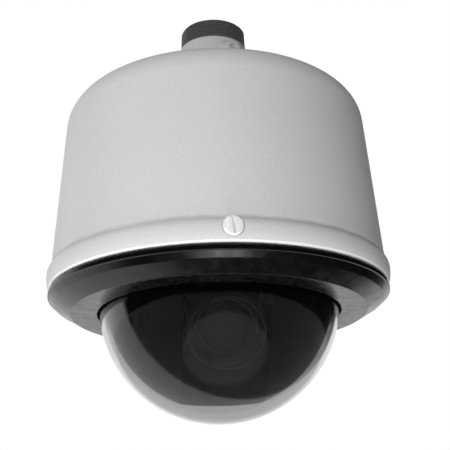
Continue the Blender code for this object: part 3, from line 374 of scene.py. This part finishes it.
def machined(name, value, roughness, grain=500.0, stretch=(1, 1, 1), tint=(1.0, 1.0, 1.0), metallic=1.0):
    """Bare or plated metal: tone and roughness wander with fine tool marks, and the surface is slightly uneven."""
    material, tree, shader = start_finish(name, roughness, metallic)
    place = object_place(tree)
    marks = noise(tree, place, grain, 4.0, stretch)
    tree.links.new(blend(tree, between(tree, marks, 0, 1), grey(value * 0.78, tint), grey(value, tint)),
                   shader.inputs["Base Color"])
    tree.links.new(between(tree, noise(tree, place, 90.0, 4.0), roughness - 0.07, roughness + 0.10),
                   shader.inputs["Roughness"])
    bump(tree, shader, marks, 0.00005)
    return material


def socket_screw(radius, height, shank, length, hexagon, count=72):
    """A button-head screw, own Z out of its head. Rows run from the shank's end up over the head, then down a
    six-sided socket whose radius at angle a is its half width over cos(a mod 60 - 30 degrees)."""
    angles = around(count)
    body = turned(rounded([(shank * 0.8, -length), (shank, -length + 0.0006), (shank, 0.0), (radius, 0.0),
                           (radius, height * 0.35), (radius * 0.75, height), (hexagon * 1.25, height)],
                          [0, 0.0003, 0.0001, 0.0003, 0.0012, 0.0012, 0], 5, closed=False), angles)
    reach = hexagon / np.cos((angles % math.radians(60)) - math.radians(30))
    flat = np.stack([reach * np.cos(angles), reach * np.sin(angles)], axis=1)
    rings = [np.column_stack([flat * size, np.full(count, level)])
             for size, level in ((1.06, height), (1.0, height - 0.0002), (1.0, height * 0.25), (0.4, height * 0.18))]
    return np.concatenate([body, np.stack(rings)])


stainless = machined("stainless_steel", 0.62, 0.30, 700.0)
for number, angle in enumerate(np.radians([90, 210, 330]), 1):
    name = f"hub_screw_{number}"
    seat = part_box(name)[1].z - 0.0032
    skin(f"flange_screw_{number}", placed(socket_screw(0.0048, 0.0032, 0.0025, 0.0110, 0.0016),
                                          (screw_circle * math.cos(angle), screw_circle * math.sin(angle), seat),
                                          (0, 0, 1), (math.cos(angle), math.sin(angle), 0)),
         "housing", stainless, [name])
nodes["hub_set_screw"].data.materials.clear()
nodes["hub_set_screw"].data.materials.append(hub_paint)


# Electronics above the chassis. A round fibreglass board on three standoffs carries the transformer, a capacitor and
# the terminal block; an extruded heater and a small fan stand on the plate below it.
def give(material, *names):
    """Puts one material on CAD nodes whose shape is kept."""
    for name in names:
        nodes[name].data.materials.clear()
        nodes[name].data.materials.append(material)


def circuit_board(name):
    """Green solder mask over copper tracks: a brick pattern gives the tracks, darker lanes the gaps."""
    material, tree, shader = start_finish(name, 0.4)
    place = object_place(tree)
    tracks = node(tree, "TexBrick", [("Vector", place)], Scale=160.0, Mortar_Size=0.05)
    mask = blend(tree, between(tree, noise(tree, place, 300.0), 0, 1), grey(0.05, (0.2, 1.0, 0.4)),
                 grey(0.09, (0.2, 1.0, 0.4)))
    tree.links.new(blend(tree, tracks.outputs["Fac"], mask, grey(0.16, (0.3, 1.0, 0.5))), shader.inputs["Base Color"])
    bump(tree, shader, tracks.outputs["Fac"], 0.00005)
    return material


def moulded(name, low, high, roughness, grain=900.0, depth=0.00006, tint=(1.0, 1.0, 1.0)):
    """Moulded plastic: two close tones, a spark-eroded texture and roughness that wanders."""
    material, tree, shader = start_finish(name, roughness)
    place = object_place(tree)
    tone = between(tree, noise(tree, place, 70.0, 5.0), 0, 1)
    tree.links.new(blend(tree, tone, grey(low, tint), grey(high, tint)), shader.inputs["Base Color"])
    tree.links.new(between(tree, noise(tree, place, 140.0), roughness - 0.06, roughness + 0.08),
                   shader.inputs["Roughness"])
    bump(tree, shader, noise(tree, place, grain, 2.0), depth)
    return material


zinc = machined("zinc_plate", 0.55, 0.34, 300.0, tint=(1.0, 0.99, 0.95))
ground_steel = machined("ground_steel", 0.60, 0.24, 1200.0, (1, 1, 0.05))
component_black = moulded("component_black", 0.016, 0.028, 0.50)
give(circuit_board("solder_mask"), "power_board")
give(zinc, "chassis_plate", "chassis_post_1", "chassis_post_2", "chassis_post_3", "board_standoff_1",
     "board_standoff_2", "board_standoff_3", "slip_ring_bridge")
give(machined("laminations", 0.16, 0.55, 1500.0, (0.03, 0.03, 1), (1.0, 0.92, 0.82), 0.6), "transformer")
give(moulded("terminal_plastic", 0.10, 0.16, 0.40, tint=(0.2, 1.0, 0.4)), "terminal_block")
give(machined("extruded_aluminium", 0.66, 0.36, 900.0, (1, 0.04, 1)), "heater")
give(component_black, "board_capacitor", "fan_frame", "fan_rotor", "slip_ring_stator", "slip_ring_rotor")


# Pan drive. A stepper motor turns the hollow pan shaft through a toothed belt: ground steel shaft and bearings,
# moulded pulleys, black anodised motor cans.
motor_can = machined("black_anodised", 0.05, 0.40, 500.0, (1, 1, 0.08), metallic=0.6)
pulley_plastic = moulded("pulley_plastic", 0.020, 0.034, 0.45)


def toothed_belt(name):
    """Black rubber belt with ribs across it, a wave of the belt's own pitch."""
    material, tree, shader = start_finish(name, 0.75)
    place = object_place(tree)
    ribs = node(tree, "TexWave", [("Vector", place)], Scale=160.0, Distortion=0.4)
    tree.links.new(blend(tree, ribs.outputs["Fac"], grey(0.010), grey(0.028)), shader.inputs["Base Color"])
    bump(tree, shader, ribs.outputs["Fac"], 0.0004)
    return material


belt = toothed_belt("toothed_belt")
give(motor_can, "pan_motor", "tilt_motor")
give(pulley_plastic, "pan_pulley", "tilt_pulley")
give(ground_steel, "pan_bearing", "pan_shaft", "pan_collar", "pan_motor_pinion", "tilt_motor_pinion",
     "tilt_bearing_left", "tilt_bearing_right")
give(belt, "pan_belt", "tilt_belt")


# Turntable and yoke. A zinc-plated plate bolted under the pan shaft, with two pressed arms in black paint that
# carry the tilt axle. The cradle that swings between them is bent from plated sheet.
yoke_paint = moulded("yoke_paint", 0.014, 0.024, 0.42, 1500.0)
give(zinc, "turntable")
give(yoke_paint, "yoke_arm_left", "yoke_arm_right", "camera_cradle", "liner_bracket_left", "liner_bracket_right")


# Camera module. A zoom block in a black moulded case with rounded edges, tilted 35 degrees down at rest, with a
# ribbed focus barrel, a deep shroud with baffle rings and a coated front lens.
tilt_axis = [joint for joint in frame["joints"] if joint["name"] == "tilt"][0]["pos_m"]
rest_tilt = math.radians(35)
sight = np.array([0.0, -math.cos(rest_tilt), -math.sin(rest_tilt)])
case_width, case_height = 0.0500, 0.0540
case_front, case_rear = 0.0320, -0.0480
barrel_radius, barrel_end = 0.0210, 0.0580
lens_radius = 0.0175
shroud_radius, shroud_start, shroud_end = 0.0250, 0.0463, 0.0663


def squared(width, height, corner, angles):
    """A rectangle with round corners at each angle: |x/w|^n + |y/h|^n = 1, with n = 2 / corner, so that a small
    corner comes close to a plain rectangle."""
    c, s = np.cos(angles), np.sin(angles)
    return np.stack([np.sign(c) * width / 2 * np.abs(c) ** corner, np.sign(s) * height / 2 * np.abs(s) ** corner], 1)


barrel_black = moulded("barrel_black", 0.006, 0.011, 0.40, 1400.0)
case_black = moulded("case_black", 0.008, 0.013, 0.48, 1300.0)
ease = np.array([(case_rear, 0.93), (case_rear + 0.0006, 0.97), (case_rear + 0.0020, 1.0), (-0.0302, 1.0),
                 (-0.0300, 0.975), (-0.0292, 0.975), (-0.0290, 1.0), (0.0120, 1.0), (0.0122, 0.98), (0.0128, 0.98),
                 (0.0130, 1.0), (case_front - 0.0020, 1.0), (case_front - 0.0006, 0.97), (case_front, 0.93)])
outline = squared(case_width, case_height, 0.22, around(160))
case_grid = np.concatenate([outline[None] * ease[:, 1, None, None],
                            np.broadcast_to(ease[:, 0, None, None], (len(ease), 160, 1))], axis=2)
skin("zoom_case", placed(case_grid, tilt_axis, sight, (1, 0, 0)), "tilt", case_black,
     ["camera_body"])


def ribbed(profile, ribs, depth, first, last, count):
    """A turned profile whose rows from first to last carry ribs along it: r (1 + d |sin(n a / 2)|)."""
    angles = around(count)
    grid = turned(profile, angles)
    swell = 1 + depth / barrel_radius * (np.abs(np.sin(ribs * angles / 2)) - 1)
    grid[first:last, :, :2] *= swell[None, :, None]
    return grid


barrel = np.array([(barrel_radius * 0.9, case_front + 0.0003), (barrel_radius, case_front + 0.0010),
                   (barrel_radius, 0.0360), (barrel_radius - 0.0012, 0.0364), (barrel_radius - 0.0012, 0.0374),
                   (barrel_radius, 0.0378), (barrel_radius, 0.0380), (barrel_radius, 0.0500),
                   (barrel_radius, 0.0502), (barrel_radius - 0.0006, 0.0560), (barrel_radius - 0.0012, barrel_end),
                   (lens_radius + 0.0016, barrel_end), (lens_radius + 0.0011, barrel_end - 0.0008),
                   (lens_radius + 0.0011, barrel_end - 0.0016), (lens_radius + 0.0004, barrel_end - 0.0020),
                   (lens_radius + 0.0004, 0.0530), (0.0120, 0.0520), (0.0040, 0.0516)])
skin("focus_barrel", placed(ribbed(barrel, 60, 0.0007, 7, 8, 360), tilt_axis, sight, (1, 0, 0)), "tilt",
     barrel_black, ["lens_barrel"])


def coated_glass(name):
    """Front lens: near-black glass under a multi-layer coating. Its colour lightens and turns bluer where the surface
    turns away from view, a painted sheen of the coating's reflection.
    """
    material, tree, shader = start_finish(name, 0.03)
    painted_sheen_weight = node(tree, "LayerWeight", Blend=0.35).outputs["Facing"]
    # Painted sheen: the base colour lightens and turns bluer towards grazing angles.
    tree.links.new(blend(tree, painted_sheen_weight, grey(0.012, (0.9, 0.8, 1.3)), grey(0.05, (0.6, 0.8, 1.2))),
                   shader.inputs["Base Color"])
    tree.links.new(between(tree, noise(tree, object_place(tree), 120.0), 0.02, 0.05), shader.inputs["Roughness"])
    shader.inputs["IOR"].default_value = 1.25
    return material


radii = np.linspace(lens_radius, 0.0004, 40)
dome = np.stack([radii, barrel_end - 0.0038 + 0.0034 * (1 - (radii / lens_radius) ** 2)], axis=1)
lens = np.concatenate([[(0.0010, 0.0535), (lens_radius, 0.0535)], dome])
skin("front_lens", placed(turned(lens, around(128)), tilt_axis, sight, (1, 0, 0)), "tilt",
     coated_glass("coated_lens"), ["lens_front_glass"])
low_shroud, high_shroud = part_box("lens_shroud")
teeth = np.repeat(np.linspace(0.0490, shroud_end - 0.0012, 11), 2)
inner_wall = np.stack([shroud_radius - 0.0016 - 0.0006 * (np.arange(22) % 2), teeth[::-1]], axis=1)
shroud = np.concatenate([[(shroud_radius - 0.0010, shroud_start), (shroud_radius, shroud_start + 0.0008),
                          (shroud_radius, shroud_end - 0.0008), (shroud_radius - 0.0006, shroud_end),
                          (shroud_radius - 0.0012, shroud_end)], inner_wall,
                         [(barrel_radius + 0.0003, 0.0488), (barrel_radius + 0.0003, shroud_start)]])
skin("lens_hood", placed(turned(shroud, around(160)), tilt_axis, sight, (1, 0, 0)), "tilt", barrel_black,
     ["lens_shroud"], loop=True)


# Liner. A matt black moulded ball that hides the drive and turns with the camera. A slot lets the lens look out
# from the horizon to straight down, and two brackets hold its rim to the yoke.
liner_radius = 0.0778
liner_wall = 0.0020
liner_rim = lip + 0.0140
slot_half = 0.0285
past_nadir = 0.0023
tilt_level = tilt_axis[2]
open_front = math.asin(slot_half / liner_radius)
liner_angles = np.linspace(-math.pi / 2 + open_front, 1.5 * math.pi - open_front, 260)
cosine, sine = np.cos(liner_angles), np.sin(liner_angles)
straight = slot_half / np.maximum(np.abs(cosine), 1e-6)
rounded_end = past_nadir * sine + np.sqrt(np.maximum(slot_half ** 2 - (past_nadir * cosine) ** 2, 0))
slot_edge = np.where(straight * sine < past_nadir, straight, rounded_end)


def ball_rows(radius, spread):
    """Rows over the ball from the slot's edge to its widest ring: the sphere's angle from straight down goes from
    asin(edge / radius) to 90 degrees, the same share of the way in every column."""
    start = np.arcsin(np.clip(slot_edge / liner_radius, 0, 1))
    down = start + (math.pi / 2 - start) * spread[:, None]
    flat = radius * np.sin(down)
    return np.stack([flat * cosine, flat * sine, tilt_level - radius * np.cos(down)], axis=2)


share = np.linspace(0, 1, 48)
inner_radius = liner_radius - liner_wall
outer_rim = [(liner_radius, liner_rim - 0.0004), (liner_radius - 0.0004, liner_rim),
             (inner_radius - 0.0065, liner_rim)]
inner_rim = [(inner_radius, liner_rim - liner_wall - 0.0004), (inner_radius - 0.0004, liner_rim - liner_wall),
             (inner_radius - 0.0065, liner_rim - liner_wall)]
outer_face = np.concatenate([ball_rows(liner_radius, share), turned(outer_rim, liner_angles)])
inner_face = np.concatenate([ball_rows(inner_radius, share), turned(inner_rim, liner_angles)])
middle = (outer_face + inner_face) / 2
liner_grid = np.concatenate([
    np.concatenate([face[:, :1] for face in (middle, middle[::-1])]),
    np.concatenate([outer_face, inner_face[::-1]]),
    np.concatenate([face[:, -1:] for face in (middle, middle[::-1])])], axis=1)
liner_black = moulded("liner_black", 0.0025, 0.0045, 0.50, 1600.0)
liner_black.node_tree.nodes["Principled BSDF"].inputs["Specular IOR Level"].default_value = 0.2
skin("liner_ball", liner_grid, "pan", liner_black, ["liner"], loop=True, wrap=False)


# Trim ring. A black painted ring with a satin gloss: a short rim, a narrow bevel and a wide one, a flat underside,
# and a spigot that the lock screws catch inside the skirt. A thin rubber gasket lies between it and the lip.
trim_low, trim_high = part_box("trim_ring")
trim_radius = 0.1168
spigot_radius, spigot_top = 0.1119, trim_high.z
seat_radius = 0.0926
trim_profile = rounded([
    (trim_radius, lip - 0.0018), (trim_radius, lip - 0.0045), (0.1159, lip - 0.0047), (0.1123, lip - 0.0085),
    (0.1021, trim_low.z + 0.0004), (0.1016, trim_low.z), (0.0834, trim_low.z), (0.0834, trim_low.z + 0.0035),
    (seat_radius, trim_low.z + 0.0035), (seat_radius, trim_low.z + 0.0086), (0.1011, trim_low.z + 0.0086),
    (0.1089, lip - 0.0050), (0.1089, spigot_top), (spigot_radius, spigot_top), (spigot_radius, lip - 0.0018)],
    [0.0005, 0.0003, 0.0003, 0.0005, 0.0004, 0.0006, 0.0006, 0.0003, 0.0003, 0.0003, 0.0003, 0.0010, 0.0005, 0.0006,
     0.0003], 5)
trim_black = moulded("trim_black", 0.0020, 0.0035, 0.24, 900.0, 0.000001)
skin("trim_bezel", turned(trim_profile, around(300)), "housing", trim_black, ["trim_ring"], loop=True,
     sharp=24)
low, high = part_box("trim_gasket")
skin("trim_seal", turned(rounded([(high.x, low.z), (high.x, high.z), (0.1122, high.z), (0.1122, low.z)], 0.0004),
                         around(300)), "housing", black_rubber, ["trim_gasket"], loop=True)


# Bubble. Acrylic blown into a ball of 3 mm wall and smoked to let about a third of the light through both walls,
# with a flange that a gasket and a black clamp ring hold in the trim ring by three small screws.
bubble_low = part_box("bubble")[0].z
bubble_radius = 0.0824
bubble_wall = 0.0030
bubble_level = bubble_low + bubble_radius
flange_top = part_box("bubble")[1].z
flange_low = flange_top - 0.0030
flange_reach = 0.0916


def smoked(name):
    """Smoked clear acrylic: the tint is the light one wall lets through, with a faint haze of fine dust."""
    material, tree, shader = start_finish(name, 0.0)
    place = object_place(tree)
    dust = noise(tree, place, 700.0, 4.0)
    tree.links.new(blend(tree, between(tree, noise(tree, place, 30.0), 0, 1), grey(0.54), grey(0.57)),
                   shader.inputs["Base Color"])
    tree.links.new(between(tree, dust, 0.0, 0.035, (0.55, 0.85)), shader.inputs["Roughness"])
    shader.inputs["Transmission Weight"].default_value = 1.0
    shader.inputs["IOR"].default_value = 1.49
    return material


outer_top = math.asin((flange_low - bubble_level) / bubble_radius)
inner_top = math.asin((flange_top - bubble_level) / (bubble_radius - bubble_wall))
up = np.linspace(math.radians(-89.5), outer_top, 90)
down = np.linspace(inner_top, math.radians(-89.5), 90)
bubble_profile = np.concatenate([
    np.stack([bubble_radius * np.cos(up), bubble_level + bubble_radius * np.sin(up)], axis=1),
    [(flange_reach - 0.0004, flange_low), (flange_reach, flange_low + 0.0004), (flange_reach, flange_top - 0.0004),
     (flange_reach - 0.0004, flange_top)],
    np.stack([(bubble_radius - bubble_wall) * np.cos(down),
              bubble_level + (bubble_radius - bubble_wall) * np.sin(down)], axis=1)])
skin("smoked_bubble", turned(bubble_profile, around(260)), "housing", smoked("smoked_acrylic"),
     ["bubble"], sharp=50)
give(black_rubber, "bubble_gasket")
give(trim_black, "bubble_clamp_ring")
give(stainless, "clamp_screw_1", "clamp_screw_2", "clamp_screw_3")


# Lock screws. Three stainless quarter-turn screws with broad flat slotted heads, turned on a lathe, that sit in the
# skirt's spot faces and hold the trim ring in the back box.
lock_radius = 0.0063
lock_head = 0.0024
slot_half_width = 0.0006
slot_depth = 0.0021
slot_reach = 0.0053
lock_lean = math.radians(8)


def slotted_head(radius, height):
    """A slotted head as chords laid parallel to the slot. Chord q runs over p = s sqrt(r^2 - q^2), s from -1 to 1;
    its height falls off as ((d / r - 0.8) / 0.2)^2 near the rim, and drops by the slot's depth where |q| is under
    half its width. Each chord comes back along the seat, so it makes a closed ring."""
    half = slot_half_width
    side = np.sin(np.linspace(0, math.pi / 2, 26)) * (radius - half) + half
    chords = np.concatenate([-side[::-1], [-half + 0.00005, 0.0, half - 0.00005], side])[:, None]
    reach = np.sqrt(np.maximum(radius ** 2 - chords ** 2, 0))
    across = np.sin(np.linspace(-math.pi / 2, math.pi / 2, 60))
    p = across * reach
    away = np.hypot(p, chords)
    top = height * (1 - 0.38 * np.clip((away / radius - 0.80) / 0.20, 0, 1) ** 2)
    inside_slot = (np.abs(chords) < half - 0.00002) * np.clip((slot_reach - np.abs(p)) / 0.0003, 0, 1)
    top = top - slot_depth * inside_slot
    q = np.broadcast_to(chords, p.shape)
    head = np.stack([p, q, top], axis=2)
    seat = np.stack([p, q, np.zeros(p.shape)], axis=2)[:, ::-1]
    return np.concatenate([head, seat], axis=1)


lock_steel = machined("satin_zinc", 0.96, 0.50, 900.0, (1, 1, 0.08), metallic=0.05)
for number, angle in enumerate(lock_angles, 1):
    out = np.array([math.cos(angle), math.sin(angle), 0.0])
    tangent = np.array([-math.sin(angle), math.cos(angle), 0.0])
    seat = out * (skirt_radius - spot_depth + 0.0003) + np.array([0, 0, lock_level])
    along_slot = np.array([0, 0, -math.cos(lock_lean)]) + math.sin(lock_lean) * tangent
    skin(f"slotted_screw_{number}", placed(slotted_head(lock_radius, lock_head), seat, out, along_slot),
         f"lock_screw_{number}", lock_steel, [f"lock_screw_{number}"], sharp=28)


# Studio. A pale floor far below the hanging camera, a white backdrop behind and to the left, the dark side of the
# room in front, one large soft light from the front left, one behind and weaker ones from below. None of it is part
# of the camera.
floor_level = -2.4


def floor(name, size, level):
    """A square floor whose height is level + 0.001 sin(x) sin(y), as flat as poured concrete."""
    side = np.linspace(-size, size, 33)
    x, y = np.meshgrid(side, side)
    points = np.stack([x, y, level + 0.001 * np.sin(9 * x) * np.sin(9 * y)], axis=2).reshape(-1, 3)
    index = np.arange(33 * 33).reshape(33, 33)
    quads = np.stack([index[:-1, :-1], index[:-1, 1:], index[1:, 1:], index[1:, :-1]], axis=2).reshape(-1, 4)
    mesh = bpy.data.meshes.new(name)
    mesh.from_pydata(points.tolist(), [], quads.tolist())
    mesh.materials.append(moulded("pale_floor", 0.84, 0.90, 0.7, 40.0, 0.001))
    made = bpy.data.objects.new(name, mesh)
    bpy.context.scene.collection.objects.link(made)
    return made


ground = floor("studio_floor", 30.0, floor_level)
ground.visible_glossy = False

scene = bpy.context.scene
scene.view_settings.view_transform = "Standard"
world = bpy.data.worlds.new("studio")
world.use_nodes = True
scene.world = world
tree = world.node_tree
direction = node(tree, "TexCoord").outputs["Generated"]


def dark_side(towards, marks):
    """White all round but for a dark cap about one direction: the dot product with it tells how far into the cap."""
    turned_away = node(tree, "VectorMath", [(0, direction)], operation="DOT_PRODUCT")
    turned_away.inputs[1].default_value = Vector(towards).normalized()
    return blend(tree, between(tree, turned_away.outputs["Value"], 1.0, 0.0, marks), grey(0.012), grey(1.0))


rays = node(tree, "LightPath").outputs
mirrored = dark_side((0.324, -0.920, 0.220), (-0.56, -0.50))
scattered = dark_side((0.400, -0.880, -0.260), (-0.24, -0.10))
surround = blend(tree, rays["Is Diffuse Ray"], mirrored, scattered)
tree.links.new(blend(tree, rays["Is Camera Ray"], surround, grey(1.0)), tree.nodes["Background"].inputs["Color"])


def soft_light(name, place, aim, size, power, glossy):
    """A round soft light of this size that faces its aim, mirrored in gloss and glass or not."""
    lamp = bpy.data.lights.new(name, "AREA")
    lamp.shape = "DISK"
    lamp.size = size
    lamp.energy = power
    made = bpy.data.objects.new(name, lamp)
    scene.collection.objects.link(made)
    made.location = place
    made.rotation_euler = (Vector(aim) - Vector(place)).to_track_quat("-Z", "Y").to_euler()
    made.visible_camera = False
    made.visible_glossy = glossy
    made.visible_transmission = glossy
    return made


soft_light("key_light", (-0.414, -1.39, -0.30), (0, 0, -0.14), 0.9, 14.6, False)
soft_light("low_light", (-0.05, -0.17, -0.85), (0, -0.08, -0.20), 0.5, 3.2, False)
soft_light("back_light", (0.25, 1.50, 0.30), (0, 0, -0.12), 0.9, 9.0, False)
glow = soft_light("table_glow", (0.02, -0.36, -0.78), (0, 0, -0.22), 0.95, 0.45, True)
card = soft_light("rim_card", (0.0, -0.37, -0.75), (0, -0.11, -0.21), 0.30, 0.8, True)
for light, piece in ((glow, "smoked_bubble"), (card, "trim_bezel")):
    lit = bpy.data.collections.new(f"lit_by_{light.name}")
    lit.objects.link(bpy.data.objects[piece])
    light.light_linking.receiver_collection = lit

camera = bpy.data.objects.new("photo_view", bpy.data.cameras.new("photo_view"))
scene.collection.objects.link(camera)
camera.data.lens = 77.656
camera.data.sensor_width = 36.0
around_axis = math.radians(-4.6)
distance = 0.650
rise, across, roll = math.radians(19.29), math.radians(0.48), math.radians(-1.53)
heading = across - around_axis
camera.location = (distance * math.sin(around_axis), -distance * math.cos(around_axis), lip - 0.1767)
forward = Vector((math.sin(heading) * math.cos(rise), math.cos(heading) * math.cos(rise), math.sin(rise)))
camera.rotation_mode = "QUATERNION"
camera.rotation_quaternion = forward.to_track_quat("-Z", "Y") @ Quaternion((0, 0, 1), roll)
scene.camera = camera
